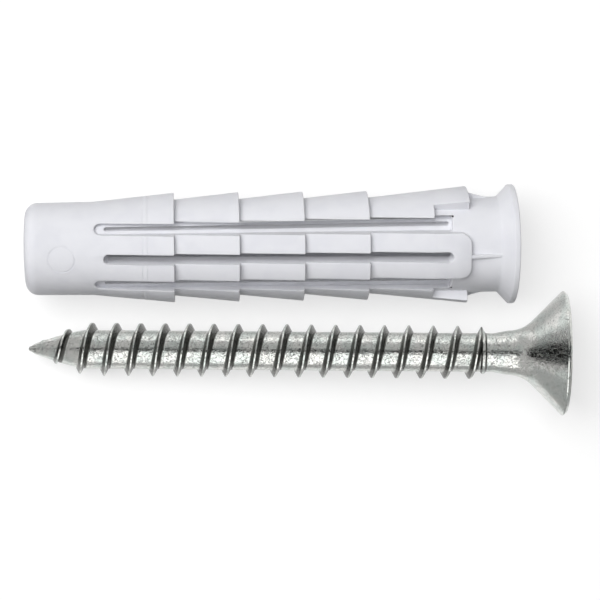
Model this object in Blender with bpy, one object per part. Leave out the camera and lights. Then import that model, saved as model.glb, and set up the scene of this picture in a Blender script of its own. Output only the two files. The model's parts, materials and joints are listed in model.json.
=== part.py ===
"""A plastic wall plug and its countersunk wood screw, lying side by side as they would rest on a table.

Each piece is modelled along its own X axis, starting at the end that enters the wall. The plug's Z axis
points through the middle of its slotted pad, and its wings lie along Y. Lengths are in metres and angles
in degrees.
"""

from math import atan2, cos, pi, radians, sin, tan

import bmesh
import bpy
from mathutils import Matrix, Vector

# Wall plug: overall form, from the nose at 0 to the flange face
PLUG_LENGTH = 0.0500
NOSE_DIAMETER = 0.0094
NOSE_CORNER_RADIUS = 0.00125
NOSE_DOME_HEIGHT = 0.00008
COLLAR_DIAMETER = 0.0098
FLANGE_DIAMETER = 0.01225
FLANGE_RIM_THICKNESS = 0.00055
FLANGE_CONE_ANGLE = 46.5

# Wall plug: barbs, each a cone that opens towards the flange and ends in a step
BARB_COUNT = 5
BARB_PITCH = 0.00657
BARB_TIP_DIAMETER = 0.0112
FIRST_BARB_LENGTH = 0.0083
FIRST_BARB_TIP = 0.0152
FIRST_BARB_ROOT_DIAMETER = 0.0095

# Wall plug: the two pads between the grooves, the two wings beside them and the four fins behind both
PAD_WIDTH = 0.0047
PAD_CORNER_RADIUS = 0.0011
PAD_END_GAP = 0.0049
WING_DIAMETER = 0.0120
WING_SPREAD = 60.0
FIN_THICKNESS = 0.00035
FIN_END_GAP = 0.0014
SEAM_DEPTH = 0.0010

# Wall plug: slots and grooves
SLOT_WIDTH = 0.0010
SLOT_START = 0.0081
SLOT_END_GAP = 0.0067
GROOVE_WIDTH = 0.00142
GROOVE_START = 0.00715
GROOVE_END_RADIUS = 0.00030
GROOVE_FLOOR_AT_NOSE = 0.0090
GROOVE_FLOOR_AT_COLLAR = 0.0082
SLIT_WIDTH = 0.0003
SLIT_LAND = 0.0010
SLIT_FLOOR_HEIGHT = 0.0016

# Wall plug: bore for the screw
MOUTH_DIAMETER = 0.0063
MOUTH_DEPTH = 0.0068
MOUTH_CHAMFER = 0.00065
GUIDE_DIAMETER = 0.0059
NOSE_BORE_DIAMETER = 0.0024
NOSE_BORE_LENGTH = 0.0070
BORE_AT_NOSE_DIAMETER = 0.0032

# Screw: from the tip at 0 to the head's face
SCREW_LENGTH = 0.0555
CORE_DIAMETER = 0.0040
TIP_DIAMETER = 0.0006
POINT_LENGTH = 0.0060
POINT_FULLNESS = 1.35  # 1 is a plain cone; more rounds its shoulder
HEAD_DIAMETER = 0.01285
HEAD_RIM_THICKNESS = 0.00045
HEAD_CONE_ANGLE = 45.0
NECK_DIAMETER = 0.0046
NECK_LENGTH = 0.0019
NECK_FILLET_RADIUS = 0.0034

# Screw thread
THREAD_DIAMETER = 0.0055
THREAD_PITCH = 0.002514
THREAD_HAND = -1  # 1 is a right-hand thread; the photographed one leans the other way
THREAD_CREST_WIDTH = 0.00014
THREAD_FLANK_ANGLE = 27.0
THREAD_START = 0.0012
THREAD_FULL = 0.0060
THREAD_RUN_OUT = 0.0009
THREAD_TOP_CREST = 0.00406
THREAD_EMBED = 0.00018

# Screw: cross recess in the head
RECESS_WIDTH = 0.0064
RECESS_DEPTH = 0.0030
RECESS_ARM = 0.0012
RECESS_TAPER = 0.40

# Lying side by side
AXES_APART = 0.01021
PLUG_ROLL = 15.0
PLUG_TURN = 0.70
SCREW_TURN = -0.47
SCREW_TIP_BEHIND_NOSE = 0.0002

# Facets
PLUG_SIDES = 64
SCREW_SIDES = 32
THREAD_STEPS = 20
POINT_STEPS = 6
ARC_STEPS = 6
CUT_MARGIN = 0.0010

PLUG_COLOUR = (0.74, 0.75, 0.77, 1.0)
STEEL_COLOUR = (0.56, 0.57, 0.55, 1.0)


def material(name, colour, roughness, metallic):
    made = bpy.data.materials.new(name)
    made.use_nodes = True
    shader = made.node_tree.nodes["Principled BSDF"]
    shader.inputs["Base Color"].default_value = colour
    shader.inputs["Roughness"].default_value = roughness
    shader.inputs["Metallic"].default_value = metallic
    made.diffuse_color = colour
    return made


def object_from(name, bm, finish=None):
    """A named object from bmesh data, with doubled points merged and its faces pointing out."""
    bmesh.ops.remove_doubles(bm, verts=bm.verts, dist=1e-7)
    bmesh.ops.dissolve_degenerate(bm, edges=bm.edges, dist=1e-8)
    bmesh.ops.recalc_face_normals(bm, faces=bm.faces)
    mesh = bpy.data.meshes.new(name)
    bm.to_mesh(mesh)
    bm.free()
    made = bpy.data.objects.new(name, mesh)
    bpy.context.scene.collection.objects.link(made)
    if finish:
        mesh.materials.append(finish)
    return made


def turned(name, outline, sides, finish=None):
    """The solid that an outline of (x, radius) points sweeps round the X axis."""
    bm = bmesh.new()
    points = [bm.verts.new((x, radius, 0.0)) for x, radius in outline]
    edges = [bm.edges.new(pair) for pair in zip(points, points[1:])]
    bmesh.ops.spin(
        bm,
        geom=points + edges,
        cent=(0.0, 0.0, 0.0),
        axis=(1.0, 0.0, 0.0),
        angle=2 * pi,
        steps=sides,
        use_merge=True,
    )
    return object_from(name, bm, finish)


def prism(name, outlines, low, high, lift=Matrix.Identity(4)):
    """Upright prisms over closed (x, y) outlines, from z = low to z = high, then moved by lift."""
    bm = bmesh.new()
    for outline in outlines:
        floor = bm.faces.new([bm.verts.new((x, y, low)) for x, y in outline])
        raised = bmesh.ops.extrude_face_region(bm, geom=[floor])["geom"]
        top = [item for item in raised if isinstance(item, bmesh.types.BMVert)]
        bmesh.ops.translate(bm, vec=(0.0, 0.0, high - low), verts=top)
    bm.transform(lift)
    return object_from(name, bm)


def arc(centre, radius, start, end, steps=ARC_STEPS):
    """Points on an arc in the plane, from the start angle to the end angle, both included."""
    turn = (end - start) / steps
    return [
        (
            centre[0] + radius * cos(radians(start + turn * step)),
            centre[1] + radius * sin(radians(start + turn * step)),
        )
        for step in range(steps + 1)
    ]


def without_repeats(points, nearest=1e-7):
    """The points of a closed outline, leaving out each that falls on the one before it."""
    return [
        point
        for before, point in zip(points[-1:] + points, points)
        if (Vector(point) - Vector(before)).length > nearest
    ]


def rounded_bar(start, end, middle, width, start_radius, end_radius):
    """A bar's (x, y) outline along X, with its corners rounded by one radius at each end."""
    low = middle - width / 2
    high = middle + width / 2
    return without_repeats(
        arc((end - end_radius, low + end_radius), end_radius, -90, 0)
        + arc((end - end_radius, high - end_radius), end_radius, 0, 90)
        + arc((start + start_radius, high - start_radius), start_radius, 90, 180)
        + arc((start + start_radius, low + start_radius), start_radius, 180, 270)
    )


def combine(target, operation, tool):
    """Joins, cuts or trims the target with a tool, which moves with it and is no part of the product."""
    tool.hide_render = True
    tool.display_type = "WIRE"
    tool.parent = target
    step = target.modifiers.new(f"{operation.title()} {tool.name}", "BOOLEAN")
    step.operation = operation
    step.object = tool


def smooth(piece, angle=35.0):
    piece.data.shade_smooth()
    piece.data.set_sharp_from_angle(angle=radians(angle))


# Wall plug


def barb_tips():
    return [FIRST_BARB_TIP + BARB_PITCH * index for index in range(BARB_COUNT)]


def pad_end():
    return PLUG_LENGTH - PAD_END_GAP


def plug_outline():
    """Nose, barbs, collar and flange as one turned outline."""
    nose = NOSE_DIAMETER / 2
    corner = (NOSE_CORNER_RADIUS + NOSE_DOME_HEIGHT, nose - NOSE_CORNER_RADIUS)
    outline = [(0.0, 0.0)] + arc(corner, NOSE_CORNER_RADIUS, 180, 90)
    outline.append((FIRST_BARB_TIP - FIRST_BARB_LENGTH, FIRST_BARB_ROOT_DIAMETER / 2))
    for tip in barb_tips():
        outline.append((tip, BARB_TIP_DIAMETER / 2))
        outline.append((tip, COLLAR_DIAMETER / 2))
    rim = PLUG_LENGTH - FLANGE_RIM_THICKNESS
    cone = (FLANGE_DIAMETER - COLLAR_DIAMETER) / 2 / tan(radians(FLANGE_CONE_ANGLE))
    outline.append((rim - cone, COLLAR_DIAMETER / 2))
    outline.append((rim, FLANGE_DIAMETER / 2))
    outline.append((PLUG_LENGTH, FLANGE_DIAMETER / 2))
    outline.append((PLUG_LENGTH, 0.0))
    return outline


def behind_last_barb(name, end_diameter):
    """A turned blank that grows out of the last barb's tip and ends flat where the pads end."""
    tip = barb_tips()[-1]
    return turned(
        name,
        [
            (tip - SEAM_DEPTH, 0.0),
            (tip - SEAM_DEPTH, COLLAR_DIAMETER / 2 - SEAM_DEPTH),
            (tip, BARB_TIP_DIAMETER / 2),
            (pad_end(), end_diameter / 2),
            (pad_end(), 0.0),
        ],
        PLUG_SIDES,
    )


def pads():
    """The rounded ends of the two pads, which run on behind the last barb."""
    blank = behind_last_barb("pad_ends", BARB_TIP_DIAMETER)
    start = barb_tips()[-1] - 2 * SEAM_DEPTH
    outline = rounded_bar(start, pad_end(), 0.0, PAD_WIDTH, SEAM_DEPTH / 2, PAD_CORNER_RADIUS)
    combine(blank, "INTERSECT", prism("pad_outline", [outline], -WING_DIAMETER, WING_DIAMETER))
    return blank


def wings():
    """Two blocks that stop the plug from turning in the wall, one on each side."""
    blank = behind_last_barb("wing_blocks", WING_DIAMETER)
    start = barb_tips()[-1] - 2 * SEAM_DEPTH
    spread = tan(radians(WING_SPREAD / 2))
    inner = COLLAR_DIAMETER / 4
    outer = WING_DIAMETER
    sectors = [
        [
            (inner * spread, side * inner),
            (outer * spread, side * outer),
            (-outer * spread, side * outer),
            (-inner * spread, side * inner),
        ]
        for side in (1, -1)
    ]
    along_x = Matrix.Translation((start, 0.0, 0.0)) @ Matrix.Rotation(pi / 2, 4, "Y")
    tool = prism("wing_sectors", sectors, 0.0, pad_end() - start + CUT_MARGIN, along_x)
    combine(blank, "INTERSECT", tool)
    return blank


def fins():
    """Two thin crossed plates whose edges are the four fins on the collar."""
    start = pad_end() - SEAM_DEPTH
    end = PLUG_LENGTH - FIN_END_GAP
    tall = BARB_TIP_DIAMETER / 2
    low = COLLAR_DIAMETER / 2 - FIN_THICKNESS
    slope = (tall - low) / (end - pad_end())
    edge = [(start, low), (pad_end(), tall - slope * FIN_THICKNESS), (end, low)]
    outline = edge + [(x, -radius) for x, radius in reversed(edge)]
    half = FIN_THICKNESS / 2
    flat = prism("side_fins", [outline], -half, half)
    upright = prism("pad_fins", [outline], -half, half, Matrix.Rotation(pi / 2, 4, "X"))
    return flat, upright


def groove_middle():
    return PAD_WIDTH / 2 + GROOVE_WIDTH / 2


def slot_end():
    return PLUG_LENGTH - SLOT_END_GAP


def grooves():
    """Four grooves beside the pads, cut right through; the core gives them their floors."""
    round_end = GROOVE_WIDTH / 2
    outlines = [
        rounded_bar(
            GROOVE_START, slot_end(), side * groove_middle(), GROOVE_WIDTH, round_end, GROOVE_END_RADIUS
        )
        for side in (1, -1)
    ]
    return prism("groove_cut", outlines, -FLANGE_DIAMETER, FLANGE_DIAMETER)


def groove_core():
    """The tapering core that stands as the floor of the grooves."""
    start = GROOVE_START - SEAM_DEPTH / 2
    end = slot_end() + SEAM_DEPTH / 2
    return turned(
        "groove_core",
        [
            (start, 0.0),
            (start, GROOVE_FLOOR_AT_NOSE / 2),
            (end, GROOVE_FLOOR_AT_COLLAR / 2),
            (end, 0.0),
        ],
        PLUG_SIDES,
    )


def slots():
    """The slot through each pad, and a slit of limited depth in the floor of each groove."""
    slot = rounded_bar(SLOT_START, slot_end(), 0.0, SLOT_WIDTH, SLOT_WIDTH / 2, SLOT_WIDTH / 2)
    through = prism("slot_cut", [slot], -FLANGE_DIAMETER, FLANGE_DIAMETER)
    start = GROOVE_START + SLIT_LAND
    end = slot_end() - GROOVE_END_RADIUS
    round_end = SLIT_WIDTH / 2
    slits = [
        rounded_bar(start, end, side * groove_middle(), SLIT_WIDTH, round_end, round_end)
        for side in (1, -1)
    ]
    upper = prism("slit_cut_upper", slits, SLIT_FLOOR_HEIGHT, FLANGE_DIAMETER)
    lower = prism("slit_cut_lower", slits, -FLANGE_DIAMETER, -SLIT_FLOOR_HEIGHT)
    return through, upper, lower


def bore():
    """The screw's way in: a chamfered mouth, a guide, a taper and a small hole at the nose."""
    mouth = PLUG_LENGTH - MOUTH_DEPTH
    return turned(
        "bore_cut",
        [
            (-CUT_MARGIN, 0.0),
            (-CUT_MARGIN, NOSE_BORE_DIAMETER / 2),
            (NOSE_BORE_LENGTH, NOSE_BORE_DIAMETER / 2),
            (NOSE_BORE_LENGTH + CUT_MARGIN, BORE_AT_NOSE_DIAMETER / 2),
            (mouth - CUT_MARGIN, GUIDE_DIAMETER / 2),
            (mouth, MOUTH_DIAMETER / 2),
            (PLUG_LENGTH - MOUTH_CHAMFER, MOUTH_DIAMETER / 2),
            (PLUG_LENGTH + CUT_MARGIN, MOUTH_DIAMETER / 2 + MOUTH_CHAMFER + CUT_MARGIN),
            (PLUG_LENGTH + CUT_MARGIN, 0.0),
        ],
        PLUG_SIDES // 2,
    )


def wall_plug(finish):
    plug = turned("wall_plug", plug_outline(), PLUG_SIDES, finish)
    combine(plug, "UNION", pads())
    combine(plug, "UNION", wings())
    for plate in fins():
        combine(plug, "UNION", plate)
    combine(plug, "DIFFERENCE", grooves())
    combine(plug, "UNION", groove_core())
    combine(plug, "DIFFERENCE", bore())
    for cut in slots():
        combine(plug, "DIFFERENCE", cut)
    smooth(plug)
    return plug


# Screw


def fillet_start():
    """Where the neck starts to flare into the head's cone."""
    cone = (HEAD_DIAMETER - NECK_DIAMETER) / 2 / tan(radians(HEAD_CONE_ANGLE))
    reach = NECK_FILLET_RADIUS * tan(radians(HEAD_CONE_ANGLE / 2))
    return SCREW_LENGTH - HEAD_RIM_THICKNESS - cone - reach


def core_radius(x):
    """The screw's core, which narrows to a blunt point along a rounded shoulder."""
    full = CORE_DIAMETER / 2
    tip = TIP_DIAMETER / 2
    share = min(max(x / POINT_LENGTH, 0.0), 1.0)
    return tip + (full - tip) * (1.0 - (1.0 - share) ** POINT_FULLNESS)


def screw_outline():
    """Blunt point, core, neck, flared head and rim as one turned outline."""
    tip = TIP_DIAMETER / 2
    outline = [(0.0, 0.0)] + arc((tip, 0.0), tip, 180, 90, POINT_STEPS // 3)
    for step in range(1, POINT_STEPS + 1):
        x = tip + (POINT_LENGTH - tip) * step / POINT_STEPS
        outline.append((x, core_radius(x)))
    outline.append((fillet_start() - NECK_LENGTH, CORE_DIAMETER / 2))
    centre = (fillet_start(), NECK_DIAMETER / 2 + NECK_FILLET_RADIUS)
    outline += arc(centre, NECK_FILLET_RADIUS, 270, 270 + HEAD_CONE_ANGLE)
    outline.append((SCREW_LENGTH - HEAD_RIM_THICKNESS, HEAD_DIAMETER / 2))
    outline.append((SCREW_LENGTH, HEAD_DIAMETER / 2))
    outline.append((SCREW_LENGTH, 0.0))
    return outline


def thread_end():
    return fillet_start() - NECK_LENGTH + THREAD_CREST_WIDTH


def thread_height(x):
    """The thread's height above the core: it grows along the point and fades before the neck."""
    full = (THREAD_DIAMETER - CORE_DIAMETER) / 2
    growing = (x - THREAD_START) / (THREAD_FULL - THREAD_START)
    fading = (thread_end() - x) / THREAD_RUN_OUT
    return full * min(max(min(growing, fading), 0.0), 1.0)


def thread():
    """One ridge swept along a helix, with its foot sunk into the core."""
    turns = (thread_end() - THREAD_START) / THREAD_PITCH
    count = int(turns * THREAD_STEPS)
    bm = bmesh.new()
    rings = []
    for index in range(count + 1):
        x = THREAD_START + THREAD_PITCH * index / THREAD_STEPS
        angle = THREAD_HAND * 2 * pi * (x - THREAD_TOP_CREST) / THREAD_PITCH
        height = thread_height(x)
        foot = THREAD_CREST_WIDTH / 2 + (height + THREAD_EMBED) * tan(radians(THREAD_FLANK_ANGLE))
        low = core_radius(x) - THREAD_EMBED
        high = core_radius(x) + height
        crest = THREAD_CREST_WIDTH / 2
        ring = []
        for along, radius in ((-foot, low), (-crest, high), (crest, high), (foot, low)):
            ring.append(bm.verts.new((x + along, radius * cos(angle), radius * sin(angle))))
        rings.append(ring)
    for first, second in zip(rings, rings[1:]):
        for corner in range(4):
            after = (corner + 1) % 4
            bm.faces.new((first[corner], first[after], second[after], second[corner]))
    bm.faces.new(rings[0])
    bm.faces.new(list(reversed(rings[-1])))
    return object_from("thread", bm)


def recess_arm(name, turn):
    """One arm of the cross recess, with sides that narrow towards its floor."""
    bm = bmesh.new()
    rings = []
    for depth, share in ((-CUT_MARGIN, 1.0), (0.0, 1.0), (RECESS_DEPTH, RECESS_TAPER)):
        half = RECESS_WIDTH / 2 * share
        arm = RECESS_ARM / 2 * (1.0 + share) / 2
        corners = [(-half, -arm), (half, -arm), (half, arm), (-half, arm)]
        rings.append([bm.verts.new((SCREW_LENGTH - depth, y, z)) for y, z in corners])
    for first, second in zip(rings, rings[1:]):
        for corner in range(4):
            after = (corner + 1) % 4
            bm.faces.new((first[corner], first[after], second[after], second[corner]))
    bm.faces.new(rings[0])
    bm.faces.new(rings[-1])
    bm.transform(Matrix.Rotation(turn, 4, "X"))
    return object_from(name, bm)


def screw(finish):
    made = turned("screw", screw_outline(), SCREW_SIDES, finish)
    combine(made, "UNION", thread())
    combine(made, "DIFFERENCE", recess_arm("recess_cut_level", 0.0))
    combine(made, "DIFFERENCE", recess_arm("recess_cut_upright", pi / 2))
    smooth(made)
    return made


# Layout


def world_points(piece):
    """The finished piece's points in the world, with its modifiers in place."""
    bpy.context.view_layer.update()
    finished = piece.evaluated_get(bpy.context.evaluated_depsgraph_get())
    mesh = finished.to_mesh()
    points = [finished.matrix_world @ vertex.co for vertex in mesh.vertices]
    finished.to_mesh_clear()
    return points


def resting_slope(points, balance):
    """The slope of the line that touches the underside on both sides of the point of balance."""
    before = [point for point in points if point.x < balance]
    after = [point for point in points if point.x > balance]
    slope = 0.0
    for _ in range(8):
        left = min(before, key=lambda point: point.z - slope * point.x)
        right = min(after, key=lambda point: point.z - slope * point.x)
        slope = (right.z - left.z) / (right.x - left.x)
    return slope


def lay_down(piece, roll, turn, balance):
    """Rolls a piece about its axis, tips it until it rests at both ends, and turns it in plan."""
    piece.rotation_euler = (radians(roll), 0.0, 0.0)
    slope = resting_slope(world_points(piece), balance)
    tip = Matrix.Rotation(atan2(slope, 1.0), 4, "Y")
    piece.matrix_world = Matrix.Rotation(radians(turn), 4, "Z") @ tip @ piece.matrix_world
    piece.location.z -= min(point.z for point in world_points(piece))


def centre_pair(pieces):
    """Puts the middle of the pair's footprint at the origin."""
    points = [point for piece in pieces for point in world_points(piece)]
    across = [(min(p[axis] for p in points) + max(p[axis] for p in points)) / 2 for axis in (0, 1)]
    for piece in pieces:
        piece.location.x -= across[0]
        piece.location.y -= across[1]


def build():
    for thing in list(bpy.data.objects):
        bpy.data.objects.remove(thing)
    plug = wall_plug(material("plug_plastic", PLUG_COLOUR, 0.45, 0.0))
    fastener = screw(material("screw_steel", STEEL_COLOUR, 0.3, 1.0))
    lay_down(plug, PLUG_ROLL, PLUG_TURN, PLUG_LENGTH / 2)
    lay_down(fastener, 0.0, SCREW_TURN, SCREW_LENGTH * 0.7)
    plug.location.y += AXES_APART
    fastener.location.x += SCREW_TIP_BEHIND_NOSE
    centre_pair([plug, fastener])


build()
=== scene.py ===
"""The finished look of a nylon wall plug and its countersunk wood screw, side by side on a pale table.

Each piece is modelled along its own X axis from the end that enters the wall, then laid where its
solid lies. The plug's Z axis points through the middle of its slotted pad. Lengths are in metres and
angles in degrees.
"""

import json
from math import asin, atan2, cos, pi, radians, sin, tan

import bmesh
import bpy
from mathutils import Euler, Matrix, Vector


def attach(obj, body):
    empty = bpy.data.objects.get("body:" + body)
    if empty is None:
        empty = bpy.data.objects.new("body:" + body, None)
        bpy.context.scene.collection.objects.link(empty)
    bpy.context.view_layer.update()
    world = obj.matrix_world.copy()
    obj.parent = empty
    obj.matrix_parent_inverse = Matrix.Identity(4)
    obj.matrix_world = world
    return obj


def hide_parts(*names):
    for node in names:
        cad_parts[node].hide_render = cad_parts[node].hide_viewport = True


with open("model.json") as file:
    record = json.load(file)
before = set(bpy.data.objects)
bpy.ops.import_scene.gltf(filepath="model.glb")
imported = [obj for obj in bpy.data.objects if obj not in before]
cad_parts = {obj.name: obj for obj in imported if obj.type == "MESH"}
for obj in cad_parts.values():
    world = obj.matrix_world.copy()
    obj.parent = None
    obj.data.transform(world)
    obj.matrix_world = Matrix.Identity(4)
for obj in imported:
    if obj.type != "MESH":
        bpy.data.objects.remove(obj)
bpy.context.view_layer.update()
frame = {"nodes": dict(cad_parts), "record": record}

# Wall plug: turned form
PLUG_LENGTH = 0.0500
NOSE_DIAMETER = 0.0094
NOSE_CORNER = 0.00125
NOSE_DOME = 0.00008
COLLAR_DIAMETER = 0.0098
FLANGE_DIAMETER = 0.01225
FLANGE_RIM = 0.00055
FLANGE_CONE_ANGLE = 46.5
BARB_COUNT = 5
BARB_PITCH = 0.00657
BARB_DIAMETER = 0.0112
FIRST_BARB_LENGTH = 0.0083
FIRST_BARB_TIP = 0.0152
FIRST_BARB_ROOT = 0.0095
BARB_ROUNDING = 0.00008
FLANGE_ROUNDING = 0.00012
FLANGE_HOLLOW = 0.0004

# Wall plug: pads, wings and fins
PAD_WIDTH = 0.0047
PAD_CORNER = 0.0011
PAD_END = PLUG_LENGTH - 0.0049
WING_DIAMETER = 0.0120
WING_SPREAD = 60.0
FIN_THICKNESS = 0.00035
FIN_END = PLUG_LENGTH - 0.0014
SEAM_DEPTH = 0.0010
SEAM_SINK = 0.00001  # how far a joined blank starts below the surface that it grows out of
RING_RISE = 0.000003  # the extra rings in the outlines stand this proud, so that no join removes them

# Wall plug: cuts
SLOT_WIDTH = 0.0010
SLOT_START = 0.0081
SLOT_END = PLUG_LENGTH - 0.0067
SLOT_CLEARANCE = 0.00002  # the second cut, through the core, is this much wider than the first
GROOVE_WIDTH = 0.00142
GROOVE_START = 0.00715
GROOVE_END_CORNER = 0.0003
GROOVE_FLOOR_AT_NOSE = 0.0087
GROOVE_FLOOR_AT_COLLAR = 0.0082
GROOVE_NOSE_SHARE = 0.72
SLIT_WIDTH = 0.00036
SLIT_PLACE_AT_NOSE = 0.00276
SLIT_PLACE_AT_COLLAR = 0.00290
SLIT_LAND = 0.0010
SLIT_FLOOR = 0.0016
MOUTH_DIAMETER = 0.0063
MOUTH_DEPTH = 0.0068
MOUTH_CHAMFER = 0.00065
GUIDE_DIAMETER = 0.0059
NOSE_BORE_DIAMETER = 0.0024
NOSE_BORE_LENGTH = 0.0070
BORE_AT_NOSE_DIAMETER = 0.0032
RIM_ROUNDING = 0.00007
PLUG_ROLL = 15.0
MARK_DIAMETER = 0.0028
MARK_PLACE = 0.0039
MARK_WIDTH = 0.00013
MARK_DEPTH = 0.00008
MOULD_LINES = (0.01205, 0.01255)
MOULD_LINE_WIDTH = 0.00010
MOULD_LINE_DEPTH = 0.00003

# Screw
SCREW_LENGTH = 0.0555
CORE_DIAMETER = 0.0040
TIP_DIAMETER = 0.0006
POINT_LENGTH = 0.0060
POINT_FULLNESS = 1.35
HEAD_DIAMETER = 0.01285
HEAD_RIM = 0.00045
HEAD_CONE_ANGLE = 45.0
HEAD_ROUNDING = 0.00008
HEAD_BEVEL = 0.00032
HEAD_EDGE_ROUNDING = 0.00006
NECK_DIAMETER = 0.0046
NECK_LENGTH = 0.0019
NECK_FILLET = 0.0034
RING_PLACE = 0.0469  # the ring that the thread ends at
RING_DIAMETER = 0.0044
RING_WIDTH = 0.00028
THREAD_DIAMETER = 0.0055
THREAD_PITCH = 0.002514
THREAD_HAND = -1
THREAD_CREST = 0.00014
THREAD_FLANK_ANGLE = 27.0
THREAD_START = 0.0012
THREAD_FULL = 0.0060
THREAD_RUN_OUT = 0.0002
THREAD_TOP_CREST = 0.00406
THREAD_EMBED = 0.00018
RECESS_WIDTH = 0.0064
RECESS_DEPTH = 0.0030
RECESS_ARM = 0.0012
RECESS_TAPER = 0.40

# Finishes: colours are linear, grain is in cycles to the metre and relief in metres
NYLON_COLOUR = (0.775, 0.780, 0.815)
NYLON_SHADE = (0.745, 0.750, 0.790)
NYLON_GRAIN = 2600.0
NYLON_UNEVENNESS = 0.5
NYLON_MARKS = 0.1
NYLON_RELIEF = 0.000003
NYLON_PATCHES = (0.30, 0.62)  # between which values of the grain the colour fades
NYLON_HEIGHTS = (0.3, 1.1)  # and the roughness
NYLON_ROUGHNESS = (0.40, 0.52)
NYLON_SHINE = 0.4
NYLON_GLOW = 0.3
NYLON_GLOW_DEPTH = 0.0005
ZINC_COOL = (0.66, 0.70, 0.67)
ZINC_WARM = (0.76, 0.76, 0.73)
ZINC_MARK = (0.34, 0.35, 0.33)
# Painted shade: the thread's flanks and the foot of the ring are darkened towards this colour
PAINTED_FLANK_SHADE = (0.15, 0.15, 0.14)
ZINC_GRAIN = 3200.0
ZINC_UNEVENNESS = 0.9
ZINC_MARKS = 0.35
ZINC_RELIEF = 0.000042
ZINC_PATCHES = (0.35, 0.65)
ZINC_MARK_LIMITS = (0.2, 1.0)
ZINC_HEIGHTS = (0.3, 1.4)
ZINC_ROUGHNESS = (0.22, 0.10)
HEAD_RELIEF_SHARE = 0.3  # the head's plate is this much smoother than the shank's
# How far the painted shade on the thread's flanks reaches from a crest, on each side
FLANK_REACH_LEFT = 0.00046
FLANK_REACH_RIGHT = 0.00062

# Studio: camera, table and room
CAMERA_DISTANCE = 0.236
CAMERA_TILT = 3.9
CAMERA_LENS = 138.0  # in millimetres, as the sensor
CAMERA_SENSOR = 36.0
CAMERA_CLIP = (0.01, 20.0)
CAMERA_TARGET = Vector((0.00005, 0.0, 0.0057))
TABLE_SIZE = 6.0
TABLE_ROUGHNESS = 0.9
TABLE_SHINE = 0.1
TABLE_TONE = 0.52  # as the pieces receive its light
TABLE_SHADE = 0.42  # as the camera sees it, so that the shadows keep their depth
TABLE_LIFT = 0.62  # what the camera sees on top of that, up to white
TABLE_IN_METAL = 0.48
ROOM_FILL = 0.16
ROOM_IN_METAL = 0.50

# Studio: lamps, each with a place, a size and how bright its face is
OVERHEAD = ((-0.22, 0.13, 0.55), (0.5, 0.5), 5.2)
WHITE_CARD = ((0.0, -0.36, 0.35), (0.36, 0.73), 1.08)
RIM_CARD = ((0.1, 0.50, 0.17), (0.5, 0.25), 0.9)

# Studio: dull cards that only show in reflections
CARD_TONE = 0.01
CARD_RISE = 0.0004  # the lying cards are this far above the table
GAP_HEIGHT = 0.5
GAP_REACH = 0.4
GAP_ANGLE = 11.0
LEFT_CARD_NEAR = 0.032
LEFT_CARD_FAR = 0.5
LEFT_CARD_NEAR_HALF = 0.038
LEFT_CARD_FAR_HALF = 0.12
LEFT_CARD_HEIGHT = 0.36
RIGHT_CARD = (0.3, 0.5, 0.24)  # place along X, half its width and its height
FRONT_CARD = (-0.06, 0.12, -0.3, -0.016)  # left, right, front and back
FRONT_CARD_TONE = 0.42

# How finely curves are divided
PLUG_SIDES = 128
SCREW_SIDES = 128
BORE_SIDES = 64
THREAD_SIDES = 64
CUT_MARGIN = 0.0010
MERGE = 1e-7
ON_FACE = 2e-6  # how near a solid's face its corners have to be
RIM_ANGLE = 35.0  # sharper edges than this are rounded
SMOOTH_ANGLE = 30.0
NORMAL_WEIGHT = 80


# Modelling helpers


def focus(piece):
    """Makes one piece the only selected and the active one, in object mode."""
    if bpy.context.mode != "OBJECT":
        bpy.ops.object.mode_set(mode="OBJECT")
    bpy.ops.object.select_all(action="DESELECT")
    piece.select_set(True)
    bpy.context.view_layer.objects.active = piece


def pick(kind, wanted):
    """Selects in edit mode only the vertices, edges or faces that pass a test."""
    bpy.ops.mesh.select_mode(type=kind)
    bpy.ops.mesh.select_all(action="DESELECT")
    mesh = bpy.context.edit_object.data
    shape = bmesh.from_edit_mesh(mesh)
    for item in {"VERT": shape.verts, "EDGE": shape.edges, "FACE": shape.faces}[kind]:
        if wanted(item):
            item.select_set(True)
    bmesh.update_edit_mesh(mesh)


def tidy_mesh():
    """Merges doubled points and turns all faces outwards, in edit mode."""
    bpy.ops.mesh.select_all(action="SELECT")
    bpy.ops.mesh.remove_doubles(threshold=MERGE)
    bpy.ops.mesh.select_all(action="SELECT")
    bpy.ops.mesh.normals_make_consistent(inside=False)


def arc(centre, radius, start, end, steps):
    """Points on an arc from the start angle to the end angle, both included."""
    turn = (end - start) / steps
    return [
        (
            centre[0] + radius * cos(radians(start + turn * step)),
            centre[1] + radius * sin(radians(start + turn * step)),
        )
        for step in range(steps + 1)
    ]


def rounded(corners, steps=4):
    """An outline through (x, radius, rounding) corners, with an arc at each rounded one."""
    outline = []
    for index, (x, y, rounding) in enumerate(corners):
        here = Vector((x, y))
        if not rounding:
            outline.append((x, y))
            continue
        back = (Vector(corners[index - 1][:2]) - here).normalized()
        ahead = (Vector(corners[index + 1][:2]) - here).normalized()
        half = back.angle(ahead) / 2
        centre = here + (back + ahead).normalized() * rounding / sin(half)
        first = here + back * rounding / tan(half) - centre
        last = here + ahead * rounding / tan(half) - centre
        sweep = pi - 2 * half
        if first.x * last.y - first.y * last.x < 0:
            sweep = -sweep
        for step in range(steps + 1):
            turned_by = Matrix.Rotation(sweep * step / steps, 2)
            outline.append(tuple(centre + turned_by @ first))
    return outline


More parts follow.
